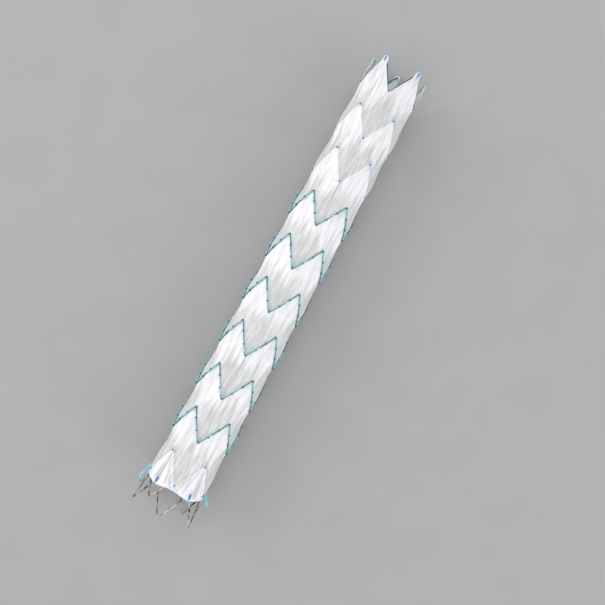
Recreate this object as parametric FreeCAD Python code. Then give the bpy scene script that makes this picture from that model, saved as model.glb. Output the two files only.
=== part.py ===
import FreeCAD, Part
import math
import os
import Mesh
from FreeCAD import Vector

os.makedirs("parts", exist_ok=True)

# A sewn tubular graft, lying on its side.
# X runs along the tube, towards the end with the notched edge. Z is up, and the floor is Z = 0.
# The origin is under the middle of the tube.
# An azimuth is an angle round the tube's axis, 0 at the top and growing towards +Y.
# Lengths are millimetres and angles are degrees.

# Driving dimensions of the fabric sleeve
fabric_radius = 14.0
fabric_wall = 0.25
flat_depth = 0.32
sag_depth = 0.45
pleat_depth = 0.45
edge_below_ring = 2.4
scallop_depth = 1.4
tip_above_ring = 1.0
tip_width = 2.4
tip_rounding = 0.25
tip_shoulder = 0.45
notch_edge_setback = 0.3
seat_width = 0.9

# Driving dimensions of the zigzag rings
ring_count = 10
ring_pitch = 22.0
first_ring_pitch = 23.7
apex_count = 5
zigzag_height = 14.4
bend_radius = 0.6
wire_diameter = 0.45
outer_rings = (4, 5, 6, 7, 8, 9)
outer_ring_gap = 0.1
inner_ring_gap = 0.15
arc_dip = 0.03

# Driving dimensions of the bare crown and its barbs
crown_wire_diameter = 0.5
crown_seat_below_ring = 1.0
crown_reach_below_ring = 15.5
crown_tip_radius = 15.35
barb_diameter = 0.32
barb_length = 3.0
barb_point_length = 0.7
barb_lift = 0.35
barb_gap = 0.03
barb_place = 0.48

# Driving dimensions of the stitching and the markers
thread_diameter = 0.24
thread_gap = 0.04
stitch_knot_diameter = 0.5
stitch_knot_length = 0.9
stitch_knots_per_leg = 2
edge_thread_diameter = 0.34
blue_knot_diameter = 0.5
blue_knot_length = 1.0
blue_tail_diameter = 0.18
blue_tail_length = 2.6
blue_tail_bend = 14.0
blue_thread_gap = 0.05
knot_turn = 72.0
knot_turn_step = 9.0
crown_knot_spacing = 1.15
thread_sides = 5
marker_diameter = 1.1
marker_thickness = 0.3
marker_below_apex = 2.0
marker_gap = 0.05
marker_corners = (-3, 3)

# Values that follow from the driving dimensions
leg_angle = 180.0 / apex_count
wire_radius = wire_diameter / 2
outer_offset = outer_ring_gap + wire_radius
inner_offset = -fabric_wall - inner_ring_gap - wire_radius
crown_offset = -fabric_wall - inner_ring_gap - crown_wire_diameter / 2
# The arcs of the two lowest legs of an outer ring dip a little below the flat of the sleeve.
axis_height = fabric_radius - flat_depth + outer_offset + wire_radius + arc_dip
half_apex_angle = math.atan2(math.radians(leg_angle) * fabric_radius, zigzag_height)
corner_cut = bend_radius / math.sin(half_apex_angle) - bend_radius
ring_span = (ring_count - 2) * ring_pitch + first_ring_pitch
notched_end = ring_span + zigzag_height - corner_cut + tip_above_ring
crown_end = corner_cut - crown_reach_below_ring
middle_x = (notched_end + crown_end) / 2


def ring_x(ring):
    """X of the valley corners of a ring, counted from 1 at the notched end."""
    if ring == 1:
        return ring_span - middle_x
    return (ring_count - ring) * ring_pitch - middle_x


def wall_point(x, azimuth, offset):
    """A point near the sleeve: offset is measured outwards from the fabric's outer face."""
    radius = fabric_radius + offset
    angle = math.radians(azimuth)
    lowest = -(fabric_radius - flat_depth + offset)
    return Vector(x, radius * math.sin(angle), axis_height + max(radius * math.cos(angle), lowest))


def outward(azimuth):
    """The direction away from the tube's axis."""
    angle = math.radians(azimuth)
    return Vector(0, math.sin(angle), math.cos(angle))


def solid_of_triangles(triangles):
    """A closed solid with flat triangular faces."""
    shell = Part.Shape()
    shell.makeShapeFromMesh(Mesh.Mesh(triangles).Topology, 0.0005)
    solid = Part.makeSolid(shell)
    if solid.Volume < 0:
        solid.reverse()
    return solid


last_valley = ring_x(ring_count) + corner_cut

# Fabric sleeve

# Columns between a valley, share 0, and a peak, share 1, with the depth of the pleat there
# and how far the notched edge stands above the first ring's leg.
tip_share = 1 - tip_width / 2 / (math.radians(leg_angle) * fabric_radius)
tip_rise = tip_above_ring - corner_cut
columns = (
    (0.0, 0.0, corner_cut + notch_edge_setback),
    (0.25, 1.0, -notch_edge_setback),
    (0.5, 0.0, -notch_edge_setback),
    (0.75, 1.0, tip_shoulder),
    (tip_share, 0.4, (1 - tip_share) * zigzag_height + tip_rise - tip_rounding),
    (1.0, 0.0, tip_rise),
)


def sleeve_columns():
    """All columns round the sleeve, as (azimuth, share, pleat, edge rise)."""
    result = []
    for leg in range(2 * apex_count):
        order = columns if leg % 2 == 0 else columns[::-1]
        for share, pleat, rise in order[:-1]:
            turned = share if leg % 2 == 0 else 1 - share
            result.append((leg_angle * (leg + turned), share, pleat, rise))
    return result


def sleeve_rows(share, pleat, rise):
    """X and sag of each row of one column, from the notched edge to the scalloped one."""
    climb = share * zigzag_height
    rows = [(ring_x(1) + climb + rise, 0.0), (ring_x(1) + climb - seat_width, 0.0)]
    for ring in range(1, ring_count):
        pitch = ring_x(ring) - ring_x(ring + 1)
        for third in (1, 2):
            x = ring_x(ring) + climb - pitch * third / 3
            sag = math.sin(math.pi * third / 3) ** 2 * (sag_depth + pleat_depth * pleat)
            rows.append((x, sag))
        rows.append((ring_x(ring + 1) + climb, 0.0))
    ridge = ring_x(ring_count) + climb
    seat = last_valley - corner_cut - seat_width + share * (corner_cut + seat_width + crown_knot_spacing / 2)
    middle = (ridge + seat) / 2
    sag = math.sin(math.pi * (ridge - middle) / ring_pitch) ** 2 * (sag_depth + pleat_depth * pleat)
    rows.append((middle, sag))
    rows.append((seat, 0.0))
    rows.append((last_valley - edge_below_ring - scallop_depth * share, 0.0))
    return rows


def fabric_sleeve():
    """The pleated sleeve: its rows follow the rings, so that each ring lies on a ridge."""
    grid = []
    for azimuth, share, pleat, rise in sleeve_columns():
        rows = sleeve_rows(share, pleat, rise)
        outer = [wall_point(x, azimuth, -sag) for x, sag in rows]
        inner = [wall_point(x, azimuth, -sag - fabric_wall) for x, sag in rows]
        grid.append(outer + inner[::-1])
    triangles = []
    for index, column in enumerate(grid):
        following = grid[(index + 1) % len(grid)]
        for row in range(len(column)):
            below = (row + 1) % len(column)
            a, b = column[row], column[below]
            c, d = following[below], following[row]
            triangles.append((a, b, c))
            triangles.append((a, c, d))
    return solid_of_triangles(triangles)


# Zigzag wires


class Zigzag:
    """The centre line of a zigzag wire or thread: each leg is an arc, and each bend is tangent to two."""

    def __init__(self, low_x, height, offset_at):
        self.low_x = low_x
        self.height = height
        self.offset_at = offset_at
        width = math.radians(leg_angle) * (fabric_radius + offset_at(1.0))
        self.leg_length = math.hypot(width, height)
        self.trim = bend_radius * height / width / self.leg_length
        self.legs = [self.leg(number) for number in range(2 * apex_count)]

    def on_wall(self, leg, share):
        """A point over the wall, at a share of the way between the corners of a leg."""
        rise = share if leg % 2 == 0 else 1 - share
        x = self.low_x + self.height * rise
        return wall_point(x, leg_angle * (leg + share), self.offset_at(rise))

    def leg(self, number):
        """The arc of a leg, short of its corners by the length that the bends take."""
        start = self.on_wall(number, self.trim)
        return Part.Arc(start, self.on_wall(number, 0.5), self.on_wall(number, 1 - self.trim))

    def at(self, leg, share, lift=0.0):
        """A point on a leg, lifted off its centre line: share 0 is its first corner."""
        arc = self.legs[leg]
        run = (share - self.trim) / (1 - 2 * self.trim)
        turn = arc.FirstParameter + run * (arc.LastParameter - arc.FirstParameter)
        return arc.value(turn) + outward(leg_angle * (leg + share)) * lift

    def bend(self, corner):
        """The arc of the bend at a corner: the lines of its legs meet at the tip."""
        before = self.legs[corner - 1]
        start = before.value(before.LastParameter)
        along = before.tangent(before.LastParameter)[0]
        end = self.legs[corner].value(self.legs[corner].FirstParameter)
        chord = end - start
        reach = chord.Length ** 2 / 2 / along.dot(chord)
        tip = start + along * reach
        back = (start + end) / 2 - tip
        centre = tip + back * (reach / back.Length) ** 2
        radius = reach * chord.Length / 2 / back.Length
        return Part.Arc(start, centre - back.normalize() * radius, end)

    def apex(self, corner):
        """The middle of the bend at a corner: even corners are valleys."""
        arc = self.bend(corner)
        return arc.value((arc.FirstParameter + arc.LastParameter) / 2)


def round_bar(curve, diameter, side):
    """A round wire along a curve, with its seam on the outer side of the tube, 1, or the inner one, -1."""
    start = curve.value(curve.FirstParameter)
    along = curve.tangent(curve.FirstParameter)[0]
    seam = Vector(0, start.y, start.z - axis_height) * side
    profile = Part.Face(Part.Wire(Part.makeCircle(diameter / 2)))
    profile.Placement = FreeCAD.Placement(start, FreeCAD.Rotation(seam, Vector(), along, "ZXY"))
    return Part.Wire(curve.toShape()).makePipe(profile)


def bars_along(zigzag, diameter):
    """The legs and bends of a zigzag as round bars that meet end to end, their seams apart."""
    bars = []
    for number in range(2 * apex_count):
        bars.append(round_bar(zigzag.bend(number), diameter, -1))
        bars.append(round_bar(zigzag.legs[number], diameter, 1))
    return bars


def zigzag_wire(zigzag, diameter):
    """The closed wire ring."""
    bars = bars_along(zigzag, diameter)
    return bars[0].multiFuse(bars[1:]).Solids[0]


def ring_zigzag(ring, offset, shift=0.0):
    """The zigzag of a ring, or of a thread that follows it at a distance along X."""
    return Zigzag(ring_x(ring) + shift, zigzag_height, lambda rise: offset)


def stent_rings():
    """The ten rings: outer ones lie on the sleeve, inner ones inside it."""
    first = {
        True: zigzag_wire(ring_zigzag(1, outer_offset), wire_diameter),
        False: zigzag_wire(ring_zigzag(1, inner_offset), wire_diameter),
    }
    rings = {}
    for ring in range(1, ring_count + 1):
        move = Vector(ring_x(ring) - ring_x(1), 0, 0)
        rings[ring] = first[ring in outer_rings].translated(move)
    return rings


# Bare crown


def crown_flare(rise):
    """The crown's offset: inside the sleeve near its seats, and flared out towards its tips."""
    reach = crown_tip_radius - fabric_radius - crown_offset
    return crown_offset + reach * (1 - rise) ** 3


def crown_zigzag():
    low = last_valley - crown_reach_below_ring + crown_wire_diameter / 2 - corner_cut
    high = last_valley - crown_seat_below_ring + corner_cut
    return Zigzag(low, high - low, crown_flare)


def crown_barbs():
    """One short pointed wire on the outside of each crown leg, its free end towards the sleeve."""
    crown = crown_zigzag()
    seat = crown_wire_diameter / 2 + barb_gap + barb_diameter / 2
    share = barb_length / crown.leg_length
    barbs = []
    for leg in range(2 * apex_count):
        first, last = barb_place, barb_place + share
        if leg % 2 == 1:
            first, last = 1 - first, 1 - last
        root = crown.at(leg, first, seat)
        free = crown.at(leg, last, seat + barb_lift)
        along = free - root
        shaft = along.Length - barb_point_length
        along.normalize()
        bar = Part.makeCylinder(barb_diameter / 2, shaft, root, along)
        point = Part.makeCone(barb_diameter / 2, 0.03, barb_point_length, root + along * shaft, along)
        barbs.append(bar.fuse(point).Solids[0])
    return Part.Compound(barbs)


# Stitching


def faceted_thread(stations):
    """A thread of short straight runs: stations are (point, azimuth, radius)."""
    count = len(stations)
    rings = []
    for index, (point, azimuth, radius) in enumerate(stations):
        before, after = stations[max(index - 1, 0)][0], stations[min(index + 1, count - 1)][0]
        along = (after - before).normalize()
        side = along.cross(outward(azimuth)).normalize()
        up = side.cross(along)
        turns = [2 * math.pi * (i + 0.5) / thread_sides for i in range(thread_sides)]
        rings.append([point + side * (radius * math.cos(t)) + up * (radius * math.sin(t)) for t in turns])
    triangles = []
    for near, far in zip(rings, rings[1:]):
        for i in range(thread_sides):
            j = (i + 1) % thread_sides
            triangles.append((near[i], near[j], far[j]))
            triangles.append((near[i], far[j], far[i]))
    for i in range(1, thread_sides - 1):
        triangles.append((rings[0][0], rings[0][i + 1], rings[0][i]))
        triangles.append((rings[-1][0], rings[-1][i], rings[-1][i + 1]))
    return solid_of_triangles(triangles)


def round_knot(place, along, diameter, length):
    """A knot: a short bar with round ends."""
    radius = diameter / 2
    half = length / 2 - radius
    first = Vector(-half, 0, 0)
    last = Vector(half, 0, 0)
    up = Vector(0, 0, radius)
    slant = radius / math.sqrt(2)
    left = Part.Arc(first - Vector(radius, 0, 0), first + Vector(-slant, 0, slant), first + up)
    right = Part.Arc(last + up, last + Vector(slant, 0, slant), last + Vector(radius, 0, 0))
    top = Part.LineSegment(first + up, last + up)
    axis = Part.LineSegment(last + Vector(radius, 0, 0), first - Vector(radius, 0, 0))
    outline = Part.Wire([left.toShape(), top.toShape(), right.toShape(), axis.toShape()])
    knot = Part.Face(outline).revolve(Vector(), Vector(1, 0, 0), 360)
    knot.Placement = FreeCAD.Placement(place, FreeCAD.Rotation(Vector(1, 0, 0), along))
    return knot


def running_suture(ring):
    """The thread that holds an outer ring: beside the wire on the crown's side, knotted as it goes."""
    knot_radius = stitch_knot_diameter / 2
    beside = (wire_radius + knot_radius + thread_gap) / math.sin(half_apex_angle)
    zigzag = ring_zigzag(ring, thread_gap + knot_radius, -beside)
    pieces = bars_along(zigzag, thread_diameter)
    for leg in range(2 * apex_count):
        bend = zigzag.bend(leg)
        along = bend.tangent((bend.FirstParameter + bend.LastParameter) / 2)[0]
        pieces.append(round_knot(zigzag.apex(leg), along, stitch_knot_diameter, stitch_knot_length))
        for number in range(1, stitch_knots_per_leg + 1):
            share = number / (stitch_knots_per_leg + 1)
            along = zigzag.at(leg, share + 0.01) - zigzag.at(leg, share)
            pieces.append(round_knot(zigzag.at(leg, share), along, stitch_knot_diameter, stitch_knot_length))
    return pieces[0].multiFuse(pieces[1:]).Solids[0]


def notch_edge_suture():
    """The thread along the notched edge, inside the sleeve and beside the first ring."""
    beside = (wire_radius + edge_thread_diameter / 2 + thread_gap) / math.sin(half_apex_angle)
    return zigzag_wire(ring_zigzag(1, inner_offset, beside), edge_thread_diameter)


def knot_row(x, azimuth, turn, places):
    """A thread on the sleeve through knots at places along its line, with a loose end each way."""
    radius = blue_knot_diameter / 2
    tail_radius = blue_tail_diameter / 2
    half = blue_knot_length / 2
    profile = [(places[0] - half - blue_tail_length, tail_radius)]
    for place in places:
        profile.append((place - half, tail_radius))
        profile.append((place - half / 2, radius))
        profile.append((place + half / 2, radius))
        profile.append((place + half, tail_radius))
    profile.append((places[-1] + half + blue_tail_length, tail_radius))
    stations = []
    for place, thickness in profile:
        bent = math.radians(turn)
        if abs(place) > abs(places[-1]) + half:
            bent += math.radians(blue_tail_bend)
        aside = math.degrees(place * math.sin(bent) / fabric_radius)
        point = wall_point(x + place * math.cos(bent), azimuth + aside, blue_thread_gap + thickness)
        stations.append((point, azimuth + aside, thickness))
    return faceted_thread(stations)


def ring_knots(ring):
    """A knot through the sleeve at each corner of an inner ring."""
    zigzag = ring_zigzag(ring, 0.0)
    knots = []
    for corner in range(2 * apex_count):
        x = zigzag.apex(corner).x
        turn = knot_turn + knot_turn_step * ((corner * 3 + ring) % 5 - 2)
        knots.append(knot_row(x, leg_angle * corner, turn, (0.0,)))
    return Part.Compound(knots)


def crown_knots():
    """A double knot over each seat of the crown."""
    half = crown_knot_spacing / 2
    x = last_valley - crown_seat_below_ring - half
    peaks = range(1, 2 * apex_count, 2)
    return Part.Compound([knot_row(x, leg_angle * corner, 0.0, (-half, half)) for corner in peaks])


def gold_markers():
    """Round markers sewn on below two side peaks of the notched end."""
    x = ring_zigzag(1, 0.0).apex(1).x - marker_below_apex
    discs = []
    for corner in marker_corners:
        azimuth = leg_angle * corner
        seat = wall_point(x, azimuth, marker_gap)
        discs.append(Part.makeCylinder(marker_diameter / 2, marker_thickness, seat, outward(azimuth)))
    return Part.Compound(discs)


# All pieces, each in its own file

nodes = {"fabric_sleeve": fabric_sleeve()}
first_suture = running_suture(outer_rings[0])
for ring, wire in stent_rings().items():
    nodes["stent_ring_%d" % ring] = wire
    if ring in outer_rings:
        move = Vector(ring_x(ring) - ring_x(outer_rings[0]), 0, 0)
        nodes["running_suture_%d" % ring] = first_suture.translated(move)
    else:
        nodes["ring_knots_%d" % ring] = ring_knots(ring)
nodes["notch_edge_suture"] = notch_edge_suture()
nodes["bare_crown"] = zigzag_wire(crown_zigzag(), crown_wire_diameter)
nodes["crown_barbs"] = crown_barbs()
nodes["crown_knots"] = crown_knots()
nodes["gold_markers"] = gold_markers()

for name, shape in nodes.items():
    shape.exportStep("parts/%s.step" % name)
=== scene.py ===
import math
import random

import bpy
import numpy as np
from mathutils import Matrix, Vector, noise


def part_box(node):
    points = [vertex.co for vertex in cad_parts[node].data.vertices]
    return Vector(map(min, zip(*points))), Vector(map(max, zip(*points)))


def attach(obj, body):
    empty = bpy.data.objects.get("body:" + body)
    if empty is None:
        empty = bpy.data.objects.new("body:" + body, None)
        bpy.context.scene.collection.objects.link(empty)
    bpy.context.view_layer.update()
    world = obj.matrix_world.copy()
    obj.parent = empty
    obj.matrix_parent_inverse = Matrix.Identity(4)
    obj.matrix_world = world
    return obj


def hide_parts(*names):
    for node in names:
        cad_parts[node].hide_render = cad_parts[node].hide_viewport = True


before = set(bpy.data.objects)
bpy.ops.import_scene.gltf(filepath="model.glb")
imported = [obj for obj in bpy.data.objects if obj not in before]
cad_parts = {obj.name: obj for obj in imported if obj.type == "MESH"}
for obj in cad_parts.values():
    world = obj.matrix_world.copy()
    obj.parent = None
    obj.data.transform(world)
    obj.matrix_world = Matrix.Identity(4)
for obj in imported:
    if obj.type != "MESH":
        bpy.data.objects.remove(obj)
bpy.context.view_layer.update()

# A sewn tubular graft that lies along X, its notched end towards +X.
# Lengths in this file are millimetres and become metres where a mesh is made.
# Angles are degrees. An azimuth is an angle round the tube's axis, 0 at the top and growing towards +Y.
MM = 0.001
chance = random.Random(7)

# Sizes of the sleeve and its wires
fabric_radius = 14.0
fabric_wall = 0.25
flat_depth = 0.32
ring_count = 10
apex_count = 5
leg_count = 2 * apex_count
leg_angle = 36.0
zigzag_height = 14.4
bend_radius = 0.6
wire_radius = 0.225
outer_rings = (4, 5, 6, 7, 8, 9)
inner_rings = (1, 2, 3, 10)
outer_offset = 0.325
inner_offset = -0.625
crown_tip_radius = 15.35
half_apex_angle = math.atan2(math.radians(leg_angle) * fabric_radius, zigzag_height)
corner_cut = bend_radius / math.sin(half_apex_angle) - bend_radius

# Places read from the frame
axis_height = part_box("stent_ring_4")[1].z / MM - fabric_radius - outer_offset - wire_radius


def ring_x(ring):
    """X of the valley corners of a ring, counted from 1 at the notched end."""
    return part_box("stent_ring_%d" % ring)[0].x / MM + wire_radius - corner_cut


corner_x = {ring: ring_x(ring) for ring in range(1, ring_count + 1)}
last_valley = corner_x[ring_count] + corner_cut


# Geometry round the tube


def outward(azimuth):
    """The direction away from the tube's axis."""
    angle = math.radians(azimuth)
    return np.array((0.0, math.sin(angle), math.cos(angle)))


def wall_point(x, azimuth, offset):
    """A point near the sleeve: offset is measured outwards from the fabric's outer face."""
    radius = fabric_radius + offset
    angle = math.radians(azimuth)
    lowest = -(fabric_radius - flat_depth + offset)
    return np.array((x, radius * math.sin(angle), axis_height + max(radius * math.cos(angle), lowest)))


def leg_bends(azimuth):
    """The azimuths of the valley and the peak at the ends of the leg at an azimuth."""
    leg = math.floor(azimuth / leg_angle)
    valley, peak = (leg, leg + 1) if leg % 2 == 0 else (leg + 1, leg)
    return leg_angle * valley, leg_angle * peak


def smooth(value, low, high):
    """0 below low, 1 above high, and a smooth step between."""
    share = min(1.0, max(0.0, (value - low) / (high - low)))
    return share * share * (3 - 2 * share)


def unit(vector):
    return vector / np.linalg.norm(vector)


def units(vectors):
    """Each row of vectors, at length 1."""
    return vectors / np.linalg.norm(vectors, axis=1)[:, None]


def carried_sides(along):
    """Directions across a line that turn as little as they can from point to point."""
    off_line = (0.31, 0.52, 0.79)
    side = np.cross(along[0], off_line)
    sides = []
    for direction in along:
        side = unit(side - direction * direction.dot(side))
        sides.append(side)
    return np.array(sides)


def arc_points(first, middle, last, count):
    """Points along the circle through three points."""
    a, b = first - last, middle - last
    cross = np.cross(a, b)
    turned = np.cross(a.dot(a) * b - b.dot(b) * a, cross)
    centre = last + turned / (2 * cross.dot(cross))
    radius = np.linalg.norm(first - centre)
    along = unit(first - centre)
    up = unit(np.cross(unit(cross), along))
    end = math.atan2((last - centre).dot(up), (last - centre).dot(along))
    half = math.atan2((middle - centre).dot(up), (middle - centre).dot(along))
    if half < 0:
        up, end = -up, -end
    if end < 0:
        end += 2 * math.pi
    turns = np.linspace(0, end, count + 1)
    return np.array([centre + radius * (math.cos(t) * along + math.sin(t) * up) for t in turns])


def curve_through(points):
    """A smooth line through points."""
    steps = 8
    points = np.asarray(points, float)
    padded = np.concatenate(([2 * points[0] - points[1]], points, [2 * points[-1] - points[-2]]))
    line = []
    for index in range(len(points) - 1):
        a, b, c, d = padded[index:index + 4]
        for step in range(steps):
            t = step / steps
            bow = (2 * a - 5 * b + 4 * c - d) * t * t
            line.append(0.5 * (2 * b + (c - a) * t + bow + (3 * b - a - 3 * c + d) * t ** 3))
    line.append(points[-1])
    return line


class WireLine:
    """The closed centre line of a ring's wire, with its directions along, sideways and outwards."""

    leg_steps = 60
    bend_steps = 10

    def __init__(self, low_x, offset):
        width = math.radians(leg_angle) * (fabric_radius + offset)
        leg_length = math.hypot(width, zigzag_height)
        self.trim = bend_radius * zigzag_height / width / leg_length
        self.low_x = low_x
        self.offset = offset
        legs = [self.leg(number) for number in range(leg_count)]
        points, corners = [], []
        for number in range(leg_count):
            before, after = legs[number - 1], legs[number]
            bend = self.bend(before, after)
            corners.append(len(points) + self.bend_steps // 2)
            points.extend(bend[:-1])
            points.extend(after[:-1])
        self.points = np.array(points)
        ahead = np.roll(self.points, -1, axis=0) - self.points
        self.steps = np.linalg.norm(ahead, axis=1)
        self.length = self.steps.sum()
        self.places = np.concatenate(([0.0], np.cumsum(self.steps)))
        self.corners = [self.places[index] for index in corners]

    def on_wall(self, number, share):
        """A point of a straight zigzag, before its corners are rounded."""
        rise = share if number % 2 == 0 else 1 - share
        return wall_point(self.low_x + zigzag_height * rise, leg_angle * (number + share), self.offset)

    def leg(self, number):
        ends = [self.on_wall(number, share) for share in (self.trim, 0.5, 1 - self.trim)]
        return arc_points(*ends, self.leg_steps)

    def bend(self, before, after):
        """The arc that joins two legs and leaves the first one without a kink."""
        start, end = before[-1], after[0]
        along = unit(before[-1] - before[-2])
        chord = end - start
        reach = chord.dot(chord) / 2 / along.dot(chord)
        tip = start + along * reach
        back = (start + end) / 2 - tip
        depth = np.linalg.norm(back)
        centre = tip + back * (reach / depth) ** 2
        radius = reach * np.linalg.norm(chord) / 2 / depth
        return arc_points(start, centre - back / depth * radius, end, self.bend_steps)

    def at(self, place):
        """Point, along, side and out at a length along the line: side points to the crown."""
        place = place % self.length
        index = int(np.searchsorted(self.places, place, side="right")) - 1
        index = min(index, len(self.points) - 1)
        share = (place - self.places[index]) / self.steps[index]
        first, second = self.points[index], self.points[(index + 1) % len(self.points)]
        third = self.points[(index + 2) % len(self.points)]
        point = first + (second - first) * share
        along = unit(unit(second - first) * (1 - share) + unit(third - second) * share)
        out = np.array((0.0, point[1], point[2] - axis_height))
        out = unit(out - along * along.dot(out))
        return point, along, np.cross(out, along), out

    def leg_place(self, number, share):
        """Length along the line at a share of the way from a leg's first bend to its last."""
        first = self.corners[number]
        last = self.corners[number + 1] if number + 1 < leg_count else self.length + self.corners[0]
        return first + (last - first) * share

    def leg_of(self, place):
        """The leg at a length along the line, and the share of it that is passed."""
        place = (place - self.corners[0]) % self.length
        for number in range(leg_count):
            first = self.corners[number] - self.corners[0]
            last = self.leg_place(number, 1.0) - self.corners[0]
            if place < last:
                break
        return number, min(1.0, (place - first) / (last - first))


# Meshes

press_height = 0.15


class Builder:
    """Gathers tubes and grids into one mesh."""

    def __init__(self):
        self.points = []
        self.faces = []

    def tube(self, path, radius, sides=6, closed=False):
        """A round tube along points. The radius is one number or one for each point."""
        path = np.asarray(path, float)
        count = len(path)
        radii = np.broadcast_to(np.asarray(radius, float), (count,))
        if closed:
            along = units(np.roll(path, -1, axis=0) - np.roll(path, 1, axis=0))
        else:
            along = units(np.gradient(path, axis=0))
        across = carried_sides(along)
        base = sum(len(block) for block in self.points)
        turns = np.arange(sides) * 2 * math.pi / sides
        rings = []
        for index in range(count):
            up = np.cross(along[index], across[index])
            ring = np.outer(np.cos(turns), across[index]) + np.outer(np.sin(turns), up)
            rings.append(path[index] + ring * radii[index])
        shift = 0
        if closed:
            last = unit(across[-1] - along[0] * along[0].dot(across[-1]))
            angle = math.atan2(np.cross(last, across[0]).dot(along[0]), last.dot(across[0]))
            shift = round(angle / (2 * math.pi / sides))
        self.points.append(np.concatenate(rings))
        for index in range(count if closed else count - 1):
            near = base + index * sides
            far = base + (index + 1) % count * sides
            turn = shift if index + 1 == count else 0
            for i in range(sides):
                j = (i + 1) % sides
                self.faces.append((near + i, near + j, far + (j + turn) % sides, far + (i + turn) % sides))
        if not closed:
            self.faces.append(tuple(base + i for i in reversed(range(sides))))
            self.faces.append(tuple(base + (count - 1) * sides + i for i in range(sides)))

    def object(self, name, material):
        """The finished piece, riding on the one body.

        What lies lower than press_height is pressed flat, so that nothing sinks into the floor.
        """
        mesh = bpy.data.meshes.new(name)
        points = np.concatenate(self.points)
        low = points[:, 2] < press_height
        points[low, 2] = press_height * np.exp(points[low, 2] / press_height - 1)
        points *= MM
        mesh.from_pydata(points.tolist(), [], self.faces)
        mesh.polygons.foreach_set("use_smooth", [True] * len(mesh.polygons))
        mesh.materials.append(material)
        mesh.validate()
        mesh.update()
        piece = bpy.data.objects.new(name, mesh)
        bpy.context.scene.collection.objects.link(piece)
        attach(piece, "root")
        return piece


# Materials, in metres


class Shader:
    """A material on one principled shader, with helpers for its nodes."""

    def __init__(self, name, roughness, metallic=0.0):
        self.material = bpy.data.materials.new(name)
        self.material.use_nodes = True
        self.tree = self.material.node_tree
        self.surface = self.tree.nodes["Principled BSDF"]
        self.number("Roughness", roughness)
        self.number("Metallic", metallic)
        self.place = self.tree.nodes.new("ShaderNodeTexCoord").outputs["Object"]

    def number(self, name, value):
        """Set one of the surface's own numbers."""
        self.surface.inputs[name].default_value = value

    def node(self, kind, **values):
        made = self.tree.nodes.new(kind)
        for name, value in values.items():
            setattr(made, name, value)
        return made

    def link(self, out, socket):
        self.tree.links.new(out, socket)

    def stretched(self, scale):
        """The object's own coordinates, with each axis scaled."""
        mapping = self.node("ShaderNodeMapping")
        mapping.inputs["Scale"].default_value = scale
        self.link(self.place, mapping.inputs["Vector"])
        return mapping.outputs["Vector"]

    def noise(self, vector, scale, detail, rough):
        made = self.node("ShaderNodeTexNoise")
        made.inputs["Scale"].default_value = scale
        made.inputs["Detail"].default_value = detail
        made.inputs["Roughness"].default_value = rough
        self.link(vector, made.inputs["Vector"])
        return made.outputs["Fac"]

    def ramp(self, value, stops):
        made = self.node("ShaderNodeValToRGB")
        elements = made.color_ramp.elements
        while len(elements) < len(stops):
            elements.new(0.5)
        for element, (place, color) in zip(elements, stops):
            element.position = place
            element.color = (*color, 1.0)
        self.link(value, made.inputs["Fac"])
        return made.outputs["Color"]

    def mix(self, factor, first, second):
        """A mix of two outputs by a number or by a third output."""
        made = self.node("ShaderNodeMix", data_type="RGBA")
        if isinstance(factor, float):
            made.inputs["Factor"].default_value = factor
        else:
            self.link(factor, made.inputs["Factor"])
        colors = [socket for socket in made.inputs if socket.type == "RGBA"]
        for socket, value in zip(colors, (first, second)):
            self.link(value, socket)
        return [socket for socket in made.outputs if socket.type == "RGBA"][0]

    def colored(self, value, stops):
        """Colour the surface by a ramp over a value."""
        self.link(self.ramp(value, stops), self.surface.inputs["Base Color"])

    def bump(self, height, strength, distance):
        made = self.node("ShaderNodeBump")
        made.inputs["Strength"].default_value = strength
        made.inputs["Distance"].default_value = distance
        self.link(height, made.inputs["Height"])
        self.link(made.outputs["Normal"], self.surface.inputs["Normal"])


def cloth_material():
    """Fine white woven polyester with creases along the tube. Painted shade makes it greyer on the slack
    cloth, in the hollows of folds, along creases under wires and on the inner wall, and it is greyer towards
    the notched end.
    """
    white_stops = [(0.34, (0.74, 0.74, 0.78)), (0.48, (0.88, 0.875, 0.91)), (0.64, (0.94, 0.935, 0.955))]
    painted_shade_stops = [(0.34, (0.52, 0.525, 0.52)), (0.52, (0.61, 0.615, 0.61)), (0.68, (0.74, 0.745, 0.74))]
    streak_stretch = (0.12, 1.0, 1.0)
    weave_scale = 1400.0
    weave_share = 0.25
    cloth = Shader("white_woven_cloth", roughness=0.85)
    cloth.number("Sheen Weight", 0.25)
    cloth.number("Sheen Roughness", 0.4)
    cloth.number("Specular IOR Level", 0.25)
    # A mesh attribute says how far painted shade turns the white cloth grey.
    painted_shade = cloth.node("ShaderNodeAttribute", attribute_name="painted_shade").outputs["Fac"]
    # The light and dark streak colours are painted light and shade of fine pleats along the tube; the same
    # streaks also bump the surface.
    streaks = cloth.noise(cloth.stretched(streak_stretch), scale=900.0, detail=4.0, rough=0.6)
    color = cloth.mix(painted_shade, cloth.ramp(streaks, white_stops), cloth.ramp(streaks, painted_shade_stops))
    cloth.link(color, cloth.surface.inputs["Base Color"])
    weave = cloth.node("ShaderNodeTexWave", wave_type="BANDS", bands_direction="X")
    weave.inputs["Scale"].default_value = weave_scale
    cloth.link(cloth.place, weave.inputs["Vector"])
    height = cloth.mix(weave_share, streaks, weave.outputs["Color"])
    cloth.bump(height, strength=0.5, distance=0.00016)
    return cloth.material


def thread_material(name, dark, light):
    """Braided thread: short plaited strands that catch the light in turn."""
    thread = Shader(name, roughness=0.6)
    thread.number("Sheen Weight", 0.2)
    fine = thread.noise(thread.place, scale=2600.0, detail=2.0, rough=0.5)
    thread.colored(fine, [(0.35, dark), (0.65, light)])
    thread.bump(fine, strength=0.5, distance=0.00005)
    return thread.material


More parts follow.
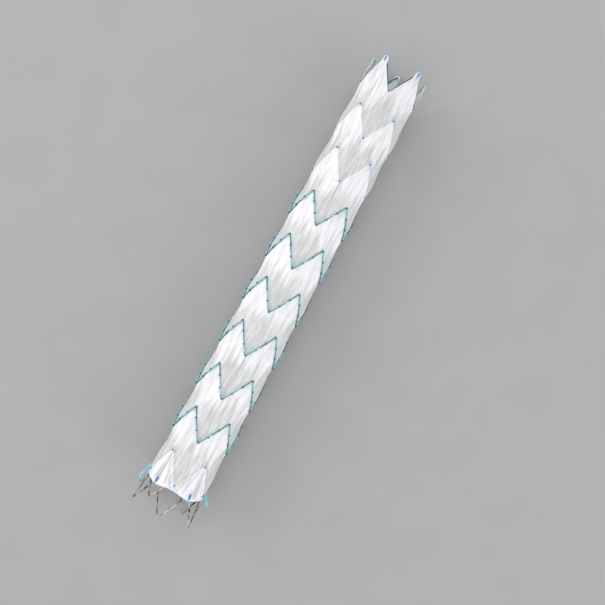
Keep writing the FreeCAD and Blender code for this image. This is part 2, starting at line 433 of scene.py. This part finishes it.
def filament_material(name, dark, light):
    """Smooth single-filament thread."""
    filament = Shader(name, roughness=0.25)
    filament.number("Coat Weight", 0.3)
    cloudy = filament.noise(filament.place, scale=1500.0, detail=2.0, rough=0.5)
    filament.colored(cloudy, [(0.3, dark), (0.7, light)])
    filament.bump(cloudy, strength=0.2, distance=0.00003)
    return filament.material


def metal_material(name, dark, light, roughness, scratch, detail=4.0):
    """Drawn metal with fine marks: scratch is their scale. They make it duller and shinier by turns."""
    shiniest = 0.7
    dullest = 1.4
    metal = Shader(name, roughness, metallic=1.0)
    marks = metal.noise(metal.place, scratch, detail, rough=0.6)
    metal.colored(marks, [(0.4, dark), (0.6, light)])
    rough = metal.node("ShaderNodeMapRange")
    rough.inputs["To Min"].default_value = roughness * shiniest
    rough.inputs["To Max"].default_value = roughness * dullest
    metal.link(marks, rough.inputs["Value"])
    metal.link(rough.outputs["Result"], metal.surface.inputs["Roughness"])
    metal.bump(marks, strength=0.25, distance=0.00003)
    return metal.material


def floor_material():
    """A matt grey that is all but even."""
    darker = (0.395, 0.395, 0.395)
    lighter = (0.405, 0.405, 0.405)
    floor = Shader("plain_floor", roughness=0.9)
    floor.number("Specular IOR Level", 0.1)
    grain = floor.noise(floor.place, scale=40.0, detail=2.0, rough=0.5)
    floor.colored(grain, [(0.4, darker), (0.6, lighter)])
    return floor.material


cloth_white = cloth_material()
teal_thread = thread_material("teal_thread", (0.12, 0.62, 0.68), (0.38, 0.86, 0.92))
teal_knot = thread_material("teal_knot", (0.0, 0.16, 0.20), (0.005, 0.31, 0.36))
teal_wrap = thread_material("teal_wrap", (0.09, 0.53, 0.56), (0.26, 0.75, 0.76))
pale_thread = thread_material("pale_teal_thread", (0.30, 0.62, 0.62), (0.52, 0.80, 0.79))
blue_filament = filament_material("blue_filament", (0.0, 0.13, 0.52), (0.02, 0.32, 0.84))
blue_tail = filament_material("pale_blue_filament", (0.16, 0.50, 0.78), (0.30, 0.70, 0.88))
ring_steel = metal_material("dark_drawn_wire", (0.11, 0.085, 0.075), (0.36, 0.30, 0.27), 0.40, 2200.0)
# The crown's broad light and dark patches are partly the metal's own uneven tone and partly painted
# highlights and dark reflections.
crown_steel = metal_material("polished_wire", (0.05, 0.045, 0.04), (0.62, 0.60, 0.56), 0.15, 330.0, 1.0)
gold = metal_material("gold", (0.62, 0.36, 0.05), (0.86, 0.56, 0.14), 0.28, 2500.0)


# Fabric sleeve
# A share goes from 0 at a ring's valleys to 1 at its peaks, and down from 0 at a ring to 1 at the next.

leg_columns = 36
inner_row_step = 3
seat_down = 0.036
gap_rows = (
    0.016, seat_down, 0.07, 0.12, 0.19, 0.27, 0.36, 0.45, 0.55,
    0.64, 0.73, 0.81, 0.88, 0.93, 0.964, 0.984, 1.0,
)
hem_rows = (0.04, 0.1, 0.18, 0.28, 0.38, 0.48, 0.58, 0.68, 0.78, 0.86, 0.93, 1.0)
# Painted shade on the inner wall: it is at least this grey.
inside_painted_shade = 0.85

# Cut edges
tip_width = 2.4
tip_above_ring = 1.0
tip_rounding = 0.3
tip_blend_start = 0.10
tip_blend_end = 0.02
edge_setback = 0.3
edge_below_ring = 2.4
scallop_depth = 1.4
scallop_unevenness = 0.22
scallop_wave = 9.0
scallop_pattern = (2.3, 7.1)

# Folds between the rings
sag_depth = 0.58
pleat_depth = 0.38
ridge_slope = 2.6
wander_angle = 5.0
wander_width = 30.0
wander_length = 13.0
wander_pattern = 4.7
valley_fan_end = 0.8
peak_fan_start = 0.2
knot_pull = 0.9
knot_reach = 0.22
pleat_middle = 0.5
wide_pleats = 0.7
medium_pleats = 0.7
fine_pleats = 0.6
finest_pleats = 0.25
leg_fade_end = 0.10
leg_fade_start = 0.9

# Slack cloth from each valley down to the next and the hollows of folds, both greyed with painted shade, and
# the crease along a wire under the cloth, darkened with a painted shadow line
slack_start = 0.62
slack_unevenness = 0.30
slack_before = 0.05
slack_after = 0.34
slack_calm = 0.55
slack_loss_at_peak = 0.5
hollow_painted_shade = 0.6
notched_end_grey = 0.25
notched_end_grey_x = (40.0, 115.0)
crease_depth = 0.12
crease_painted_shadow = 0.8
crease_starts = (0.86, 0.93)
crease_ends = (0.96, 1.0)

# Folds of the hem at the crown end, with painted shade in their hollows
hem_pleat_depth = 0.3
hem_gather = 0.35
hem_fan_end = 0.8
hem_fold_middle = 0.5
hem_wide_folds = 0.9
hem_fine_folds = 0.7
hem_fade_in = (0.0, 0.15)
hem_fade_out = (0.75, 0.97)
hem_valley_fade = (0.0, 0.3)
hem_painted_shade = 1.2
hem_painted_shade_middle = 0.25
hem_painted_shade_folds = 1.6


def notched_edge(share):
    """X of the cut edge at the notched end: along the first ring's legs, and blunt at its peaks."""
    leg = corner_x[1] + zigzag_height * share
    blunt = corner_x[1] + zigzag_height - corner_cut + tip_above_ring
    tip_share = 1 - tip_width / 2 / (math.radians(leg_angle) * fabric_radius)
    bottom = corner_x[1] + corner_cut + edge_setback
    along = max(bottom, leg - edge_setback)
    rounding = tip_rounding * ((share - tip_share) / (1 - tip_share) - 1) ** 2
    at_tip = smooth(share, tip_share - tip_blend_start, tip_share + tip_blend_end)
    return along + (blunt - rounding - along) * at_tip


def scalloped_edge(share, azimuth):
    """X of the cut edge at the crown end, a little uneven."""
    uneven = scallop_unevenness * noise.noise(Vector((azimuth / scallop_wave, *scallop_pattern)))
    scallop = scallop_depth * math.sin(math.pi * share / 2) ** 2
    return last_valley - edge_below_ring - scallop + uneven


def folds(azimuth, x, cell, stretch, shift):
    """Noise that runs along the tube: cell is the width of a fold and stretch its length."""
    turn = fabric_radius / cell
    angle = math.radians(azimuth)
    return noise.noise(Vector((turn * math.cos(angle) + shift, turn * math.sin(angle), x / stretch + shift)))


def fanned(azimuth, share, down, x):
    """The azimuth that a fold came from: folds wander, and draw together at the knots."""
    wander = wander_angle * noise.noise(Vector((azimuth / wander_width, x / wander_length, wander_pattern)))
    valley, peak = leg_bends(azimuth)
    below_valley = (1 - smooth(share, 0.0, valley_fan_end)) * math.exp(-down / knot_reach)
    above_peak = smooth(share, peak_fan_start, 1.0) * math.exp((down - 1) / knot_reach)
    pulled = knot_pull * below_valley * (azimuth - valley) + knot_pull * above_peak * (azimuth - peak)
    return azimuth + wander + pulled


def ridged(value):
    """A sharp crest at 0 and soft hollows beside it."""
    return 1 - min(1.0, abs(value) * ridge_slope)


def gap_depth_and_painted_shade(azimuth, share, ring, down, x):
    """How far the cloth below a ring lies inside its full radius, and how much painted shade greys it."""
    origin = fanned(azimuth, share, down, x)
    wide = folds(origin, x, cell=3.4, stretch=20.0, shift=3.1 * ring)
    medium = folds(origin, x, cell=1.7, stretch=15.0, shift=7.9 * ring)
    fine = ridged(folds(origin, x, cell=1.1, stretch=11.0, shift=11.7 + 1.3 * ring))
    finest = ridged(folds(origin, x, cell=0.6, stretch=9.0, shift=31.1))
    start = slack_start * share + slack_unevenness * (medium + wide)
    loose = smooth(down, start - slack_before, start + slack_after) * (1 - slack_loss_at_peak * share)
    arch = math.sin(math.pi * down)
    sag = arch * arch * sag_depth
    between_legs = smooth(down, 0.0, leg_fade_end) * (1 - smooth(down, leg_fade_start, 1.0))
    waves = (
        pleat_middle - wide_pleats * wide - medium_pleats * medium
        + fine_pleats * (1 - fine) + finest_pleats * (1 - finest)
    )
    pleat = pleat_depth * between_legs * (1 - slack_calm * loose) * waves
    end_grey = notched_end_grey * smooth(x, *notched_end_grey_x)
    # Painted shade: grey on the slack cloth and in the hollows of the medium folds. The cloth is also greyer
    # towards the notched end.
    painted_shade = loose + hollow_painted_shade * between_legs * max(0.0, -medium) + end_grey
    crease = 0.0
    if ring + 1 in inner_rings:
        crease = smooth(down, *crease_starts) * (1 - smooth(down, *crease_ends))
    depth = sag + max(0.0, pleat) + crease_depth * crease
    # A painted shadow line greys the cloth along the crease.
    return depth, min(1.0, max(0.0, painted_shade + crease_painted_shadow * crease))


def hem_depth_and_painted_shade(azimuth, share, down, x):
    """The cloth beyond the last ring: folds spread from its peaks, and end where the crown is sewn in."""
    peak = leg_bends(azimuth)[1]
    origin = peak + (azimuth - peak) / (hem_gather + (1 - hem_gather) * smooth(down, 0.0, hem_fan_end))
    wide = folds(origin, x, cell=2.4, stretch=24.0, shift=5.3)
    fine = ridged(folds(origin, x, cell=1.2, stretch=20.0, shift=17.9))
    fade = smooth(down, *hem_fade_in) * (1 - smooth(down, *hem_fade_out)) * smooth(share, *hem_valley_fade)
    depth = hem_pleat_depth * fade * (hem_fold_middle - hem_wide_folds * wide + hem_fine_folds * (1 - fine))
    # Painted shade greys the hollows of the wide folds.
    painted_shade = hem_painted_shade * fade * (hem_painted_shade_middle - hem_painted_shade_folds * wide)
    return max(0.0, depth), min(1.0, max(0.0, painted_shade))


def depth_and_painted_shade(azimuth, share, ring, down, x):
    if ring == ring_count:
        return hem_depth_and_painted_shade(azimuth, share, down, x)
    return gap_depth_and_painted_shade(azimuth, share, ring, down, x)


def sleeve_rows():
    """Rows of the sleeve as (ring, down)."""
    rows = [(1, 0.0)]
    for ring in range(1, ring_count):
        rows.extend((ring, down) for down in gap_rows)
    rows.extend((ring_count, down) for down in hem_rows)
    return rows


def row_place(ring, down, share, azimuth):
    """X of a row at a share of a leg. The first rows reach from the notched edge to the first ring."""
    line = corner_x[ring] + zigzag_height * share
    if ring == ring_count:
        return line + (scalloped_edge(share, azimuth) - line) * down
    following = corner_x[ring + 1] + zigzag_height * share
    if ring == 1 and down <= seat_down:
        top = notched_edge(share)
        return top + (line + (following - line) * seat_down - top) * down / seat_down
    return line + (following - line) * down


def fabric_sleeve():
    """The pleated sleeve, in two walls: rows follow the rings, and its folds run along the tube."""
    rows = sleeve_rows()
    columns = leg_count * leg_columns
    outer, inner, painted_shade_of = [], [], []
    for column in range(columns):
        leg, step = divmod(column, leg_columns)
        across = step / leg_columns
        share = across if leg % 2 == 0 else 1 - across
        azimuth = leg_angle * (leg + across)
        for ring, down in rows:
            x = row_place(ring, down, share, azimuth)
            depth, painted_shade = depth_and_painted_shade(azimuth, share, ring, down, x)
            outer.append(wall_point(x, azimuth, -depth))
            inner.append(wall_point(x, azimuth, -depth - fabric_wall))
            painted_shade_of.append(painted_shade)
    last = len(rows) - 1
    kept = [row for row in range(len(rows)) if row % inner_row_step == 0 or row == last]
    kept_places = [column * len(rows) + row for column in range(columns) for row in kept]
    # The inner wall is painted at least this grey, as shade inside the tube.
    inner_painted_shade = [max(inside_painted_shade, painted_shade_of[place]) for place in kept_places]
    builder = Builder()
    builder.points = [np.array(outer), np.array([inner[place] for place in kept_places])]
    inner_base = columns * len(rows)
    last_in = len(kept) - 1
    for column in range(columns):
        following = (column + 1) % columns
        near, far = column * len(rows), following * len(rows)
        for row in range(last):
            builder.faces.append((near + row, far + row, far + row + 1, near + row + 1))
        near_in, far_in = inner_base + column * len(kept), inner_base + following * len(kept)
        for row in range(last_in):
            builder.faces.append((near_in + row, near_in + row + 1, far_in + row + 1, far_in + row))
        builder.faces.append((near, near_in, far_in, far))
        builder.faces.append((near + last, far + last, far_in + last_in, near_in + last_in))
    sleeve = builder.object("pleated_sleeve", cloth_white)
    # The attribute carries the painted shade of both walls to the cloth material.
    attribute = sleeve.data.attributes.new("painted_shade", "FLOAT", "POINT")
    attribute.data.foreach_set("value", painted_shade_of + inner_painted_shade)
    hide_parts("fabric_sleeve")
    return sleeve


# Stitching

# Thread on the outer rings, with angles round the wire from its side towards the crown
strand_count = 2
strand_radius = 0.115
strand_offset = 0.075
twist_length = 1.3
suture_step = 0.22
suture_gap = 0.14
crossing_unevenness = 0.16
crossing_phase = 2.3
crossing_reach = 0.12
side_angle = 190
side_turn = 200
even_leg_lift = 76
odd_leg_lift = 26
lift_end = 0.15
knot_shares = (0.0, 1 / 3, 2 / 3)
knot_scatter = 0.3
knot_lean = 0.6
knot_height = 0.44

# Winding on the notched edge; on some legs it is dark teal as painted shade
shaded_wound_legs = (0, 4, 9)
wound_length = 12.4
wound_shares = (0.58, 0.42)

# Marker heads as (depth, radius), from the cloth inwards
marker_legs = (-3, 3)
marker_head = ((0.0, 0.34), (0.03, 0.52), (0.2, 0.6), (0.42, 0.52), (0.54, 0.28), (0.56, 0.02))

# Loose ends of the blue knots as (turn from +X, length), for the bends (ring, corner) that aren't random
tail_sets = {
    (1, 1): ((-40.0, 3.4), (150.0, 2.6)),
    (1, 9): ((5.0, 3.2), (185.0, 3.0)),
    (1, 0): ((5.0, 2.8), (215.0, 3.2)),
    (10, 0): ((155.0, 2.6), (208.0, 2.8)),
}
tail_steps = 8
tail_bend = 28
tail_height = 0.16
tail_arch = 0.9
first_turns = (40, 120)
second_turns = (120, 220)
tail_lengths = (1.8, 2.8)
blue_knot_height = 0.32
second_knot_height = 0.30
second_knot_back = 1.1

# Loose threads at the crown end as (X from the last valley, azimuth, offset)
left_loop = (
    (2.2, 80, -0.1), (0.3, 81, 0.8), (-2.4, 81, 1.6),
    (-4.5, 80, 2.3), (-6.2, 79, 2.2), (-7.4, 78, 1.5),
)
right_loop = ((1.1, -76, -0.1), (0.1, -77, 1.0), (-1.0, -77, 2.0), (-2.4, -78, 2.9), (-3.8, -79, 3.2))
short_end = ((0.7, -75, -0.1), (-0.6, -74, 0.5), (-2.0, -73, 0.3))
fine_end = ((0.4, -76, -0.1), (-2.2, -77, 0.9), (-6.5, -79, 1.5), (-11.0, -77, 1.7))
band_strands = 4
band_fill = 0.62
inside_tip = 0.3

# Knots over the crown's seats, as distances from the last valley
seat_knots = (1.0, 2.15)
seat_knot_height = 0.38
seat_knot_scatter = 1
seat_end_height = 0.35
seat_end_scatter = 15
seat_end_turns = (168.0, 192.0)


def twisted(centre_line):
    """Strands that wind round a line of points that lie close together."""
    line = np.asarray(centre_line)
    steps = np.linalg.norm(np.diff(line, axis=0), axis=1)
    places = np.concatenate(([0.0], np.cumsum(steps)))
    along = units(np.gradient(line, axis=0))
    across = carried_sides(along)
    up = np.cross(along, across)
    paths = []
    for strand in range(strand_count):
        turn = 2 * math.pi * (places / twist_length + strand / strand_count)
        paths.append(line + strand_offset * (np.cos(turn)[:, None] * across + np.sin(turn)[:, None] * up))
    return paths


def coil(line, middle, length, radius, turns, steps=12):
    """A few turns of thread round the wire, with a number of steps to a turn."""
    points = []
    for index in range(int(turns * steps) + 1):
        share = index / (turns * steps)
        point, along, side, out = line.at(middle + (share - 0.5) * length)
        angle = 2 * math.pi * turns * share
        points.append(point + radius * (math.cos(angle) * side + math.sin(angle) * out))
    return points


def knot_loop(centre, along, out, size):
    """The closed line of an overhand knot pulled tight."""
    steps = 36
    reach = 3
    width = 0.75
    height = 0.8
    side = np.cross(out, along)
    points = []
    for index in range(steps):
        t = 2 * math.pi * index / steps
        x = math.sin(t) + 2 * math.sin(2 * t)
        y = math.cos(t) - 2 * math.cos(2 * t)
        z = -math.sin(3 * t)
        points.append(centre + size / reach * (x * along + y * side * width + z * out * height))
    return points


def suture_line(line):
    """The running thread: beside the wire at each peak, over it, and on its other side at each valley."""
    points = []
    count = int(line.length / suture_step)
    reach = wire_radius + suture_gap
    for index in range(count + 1):
        place = line.length * index / count
        point, along, side, out = line.at(place)
        leg, share = line.leg_of(place)
        rise = share if leg % 2 == 0 else 1 - share
        cross_at = 0.5 + crossing_unevenness * math.sin(crossing_phase * leg + line.low_x)
        over = smooth(rise, cross_at - crossing_reach, cross_at + crossing_reach)
        lift = even_leg_lift if leg % 2 == 0 else odd_leg_lift
        high = lift * smooth(min(rise, 1 - rise), 0.0, lift_end)
        angle = math.radians(side_angle - high - (side_turn - 2 * high) * over)
        points.append(point + reach * (math.cos(angle) * side + math.sin(angle) * out))
    return points


def outer_ring_stitching(ring):
    """Thread beside the wire, thin turns round it, and knots."""
    line = WireLine(corner_x[ring], outer_offset)
    thread = Builder()
    for path in twisted(suture_line(line)):
        thread.tube(path, strand_radius, sides=5)
    piece = thread.object("running_thread_%d" % ring, teal_thread)
    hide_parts("running_suture_%d" % ring)

    turns = Builder()
    for leg in range(leg_count):
        wrap = coil(line, line.leg_place(leg, 0.5), length=14.5, radius=wire_radius + 0.03, turns=20)
        turns.tube(wrap, radius=0.055, sides=4)
    wraps = turns.object("thread_turns_%d" % ring, teal_wrap)

    knots = Builder()
    for leg in range(leg_count):
        for share in knot_shares:
            place = line.leg_place(leg, share) + chance.uniform(-knot_scatter, knot_scatter)
            wrap = coil(line, place, length=0.6, radius=wire_radius + 0.16, turns=3.5)
            knots.tube(wrap, radius=0.11, sides=5)
            point, along, side, out = line.at(place)
            lean = unit(out + side * chance.uniform(-knot_lean, knot_lean))
            knot = knot_loop(point + lean * knot_height, along, lean, size=0.34)
            knots.tube(knot, radius=0.135, sides=5, closed=True)
    tied = knots.object("stitch_knots_%d" % ring, teal_knot)


def notched_end_stitching():
    """The first ring's wire is wound with thread where it follows the notched edge: pale on most legs, and
    on the others dark teal as painted shade.
    """
    line = WireLine(corner_x[1], inner_offset)
    dark, pale = Builder(), Builder()
    for leg in range(leg_count):
        middle = line.leg_place(leg, wound_shares[leg % 2])
        # Painted shade: these legs get the dark teal of the knots.
        if leg in shaded_wound_legs:
            winding = coil(line, middle, wound_length, wire_radius + 0.05, turns=58, steps=9)
            dark.tube(winding, radius=0.085, sides=5)
        else:
            winding = coil(line, middle, wound_length, wire_radius + 0.03, turns=60, steps=8)
            pale.tube(winding, radius=0.075, sides=5)
    piece = dark.object("edge_winding", teal_knot)
    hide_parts("notch_edge_suture")
    second = pale.object("edge_winding_pale", pale_thread)


def marker_studs():
    """The inner heads of the gold markers, on the other face of the cloth from their discs."""
    low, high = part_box("gold_markers")
    x = (low.x + high.x) / 2 / MM
    studs = Builder()
    for leg in marker_legs:
        azimuth = leg * leg_angle
        seat = wall_point(x, azimuth, -fabric_wall)
        path = [seat - outward(azimuth) * depth for depth, radius in marker_head]
        studs.tube(path, [radius for depth, radius in marker_head], sides=20)
    piece = studs.object("marker_studs", gold)


def tail(start, x, azimuth, turn, length, lift):
    """A loose end that leaves a knot at a turn from +X and curves back to the cloth."""
    points = []
    bend = chance.uniform(-tail_bend, tail_bend)
    for index in range(tail_steps + 1):
        share = index / tail_steps
        heading = math.radians(turn + bend * share)
        reach = length * share
        aside = math.degrees(reach * math.sin(heading) / fabric_radius)
        height = tail_height + lift * math.sin(math.pi * (tail_arch * share))
        points.append(wall_point(x + reach * math.cos(heading), azimuth + aside, height))
    points[0] = start
    return points


def chosen_turns():
    """Turns and lengths of a knot's two loose ends, drawn at random and well apart."""
    first = chance.uniform(*first_turns) * chance.choice((-1, 1))
    first_length = chance.uniform(*tail_lengths)
    second = first + chance.uniform(*second_turns)
    return (first, first_length), (second, chance.uniform(*tail_lengths))


def blue_knots(ring):
    """A knot and two loose ends at each corner of an inner ring, and the loop that holds its wire inside."""
    line = WireLine(corner_x[ring], 0.0)
    inside = WireLine(corner_x[ring], inner_offset)
    knots, ends = Builder(), Builder()
    for corner in range(leg_count):
        point, along, side, out = line.at(line.corners[corner])
        azimuth = leg_angle * corner
        hold = coil(inside, inside.corners[corner], length=0.8, radius=wire_radius + 0.1, turns=3.5)
        knots.tube(hold, radius=0.1)
        centre = point + out * blue_knot_height
        knots.tube(knot_loop(centre, along, out, size=0.40), radius=0.17, closed=True)
        if ring == 1 and corner % 2 == 1:
            second = wall_point(point[0] - second_knot_back, azimuth, second_knot_height)
            knots.tube(knot_loop(second, along, out, size=0.34), radius=0.16, closed=True)
        for turn, length in tail_sets.get((ring, corner)) or chosen_turns():
            ends.tube(tail(centre, point[0], azimuth, turn, length, lift=0.5), radius=0.1, sides=5)
    piece = knots.object("blue_knots_%d" % ring, blue_filament)
    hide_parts("ring_knots_%d" % ring)
    loose = ends.object("blue_ends_%d" % ring, blue_tail)


def crown_end_points(places):
    return [wall_point(last_valley + x, azimuth, offset) for x, azimuth, offset in places]


def band(builder, path, width):
    """Strands that lie side by side along a path, flat towards the top."""
    path = np.asarray(path)
    side = units(np.cross((0.0, 0.0, 1.0), units(np.gradient(path, axis=0))))
    for strand in range(band_strands):
        offset = width * (strand / (band_strands - 1) - 0.5)
        builder.tube(path + side * offset, width / band_strands * band_fill)


def side_loops():
    """Loose ends of teal thread at both sides of the crown end, and a fine thread to one of its tips."""
    loops, dark, thin = Builder(), Builder(), Builder()
    left = curve_through(crown_end_points(left_loop))
    band(loops, left, width=0.72)
    left_knot = knot_loop(left[-1], unit(left[-1] - left[-3]), outward(left_loop[0][1]), size=0.45)
    dark.tube(left_knot, radius=0.2, closed=True)
    band(loops, curve_through(crown_end_points(right_loop)), width=0.66)
    thin.tube(curve_through(crown_end_points(short_end)), radius=0.12)
    crown_tip_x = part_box("bare_crown")[0].x / MM + inside_tip
    crown_tip = wall_point(crown_tip_x, -2 * leg_angle, crown_tip_radius - fabric_radius)
    thin.tube(curve_through(crown_end_points(fine_end) + [crown_tip]), radius=0.06, sides=5)
    piece = loops.object("side_loops", teal_thread)
    knot = dark.object("side_loop_knot", teal_knot)
    loose = thin.object("side_loose_ends", blue_tail)


def crown_stitching():
    """Two knots in line over each seat of the crown, with loose ends."""
    knots, ends = Builder(), Builder()
    near, far = seat_knots
    along_tube = np.array((1.0, 0.0, 0.0))
    for corner in range(1, leg_count, 2):
        azimuth = leg_angle * corner
        for place in seat_knots:
            aside = chance.uniform(-seat_knot_scatter, seat_knot_scatter)
            centre = wall_point(last_valley - place, azimuth + aside, seat_knot_height)
            knot = knot_loop(centre, along_tube, outward(azimuth), size=0.5)
            knots.tube(knot, radius=0.23, closed=True)
        start = wall_point(last_valley - near, azimuth, seat_end_height)
        turn = chance.uniform(-seat_end_scatter, seat_end_scatter)
        end = tail(start, last_valley - near, azimuth, turn, length=2.8, lift=0.4)
        ends.tube(end, radius=0.12, sides=5)
        start = wall_point(last_valley - far, azimuth, seat_end_height)
        for turn in seat_end_turns:
            end = tail(start, last_valley - far, azimuth, turn, length=2.6, lift=0.3)
            ends.tube(end, radius=0.12, sides=5)
    piece = knots.object("crown_seat_knots", blue_filament)
    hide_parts("crown_knots")
    loose = ends.object("crown_seat_ends", blue_tail)


# Camera, floor and light, in metres but for the camera's place


def camera():
    """Straight above the tube, which runs from lower left to upper right."""
    distance = 472.0
    roll = math.radians(28.5)
    aim_x = -0.4
    aim_y = -11.2
    data = bpy.data.cameras.new("camera")
    data.sensor_width = 36.0
    data.lens = 61.3
    data.clip_start = 0.01
    data.clip_end = 10.0
    made = bpy.data.objects.new("camera", data)
    made.location = (aim_x * MM, aim_y * MM, (axis_height + distance) * MM)
    made.rotation_euler = (0.0, 0.0, roll - math.pi / 2)
    bpy.context.scene.collection.objects.link(made)
    bpy.context.scene.camera = made


def area_light(name, place, size, power, color):
    """A round soft lamp that faces the origin."""
    data = bpy.data.lights.new(name, "AREA")
    data.shape = "DISK"
    data.size = size
    data.energy = power
    data.color = color
    made = bpy.data.objects.new(name, data)
    made.location = place
    made.rotation_euler = (-Vector(place)).to_track_quat("-Z", "Y").to_euler()
    bpy.context.scene.collection.objects.link(made)


def studio():
    """A plain floor, even light from all sides, a soft lamp at each side and one above."""
    floor_reach = 3.0
    sky_strength = 0.82
    mesh = bpy.data.meshes.new("floor")
    corners = [(floor_reach * x, floor_reach * y, 0) for x, y in ((-1, -1), (1, -1), (1, 1), (-1, 1))]
    mesh.from_pydata(corners, [], [(0, 1, 2, 3)])
    mesh.materials.append(floor_material())
    floor = bpy.data.objects.new("floor", mesh)
    bpy.context.scene.collection.objects.link(floor)
    world = bpy.data.worlds.new("even_light")
    world.use_nodes = True
    sky = world.node_tree.nodes["Background"]
    sky.inputs["Color"].default_value = (1.0, 1.0, 1.0, 1.0)
    sky.inputs["Strength"].default_value = sky_strength
    bpy.context.scene.world = world
    area_light("left_box", (0.15, 1.2, 0.55), size=1.0, power=6.8, color=(1.0, 0.99, 1.0))
    area_light("right_box", (-0.15, -1.2, 0.5), size=1.0, power=5.2, color=(0.99, 0.99, 1.0))
    area_light("top_box", (0.4, 0.3, 1.3), size=1.2, power=2.0, color=(1.0, 0.995, 0.99))
    bpy.context.scene.view_settings.view_transform = "Standard"


# The model


def finish_solid(name, material):
    """Give a solid that stays as it is its material."""
    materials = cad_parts[name].data.materials
    materials.clear()
    materials.append(material)


camera()
studio()

for ring in range(1, ring_count + 1):
    finish_solid("stent_ring_%d" % ring, ring_steel)
finish_solid("bare_crown", crown_steel)
finish_solid("crown_barbs", crown_steel)
finish_solid("gold_markers", gold)

sleeve = fabric_sleeve()
for ring in outer_rings:
    outer_ring_stitching(ring)
notched_end_stitching()
for ring in inner_rings:
    blue_knots(ring)
crown_stitching()
side_loops()
marker_studs()
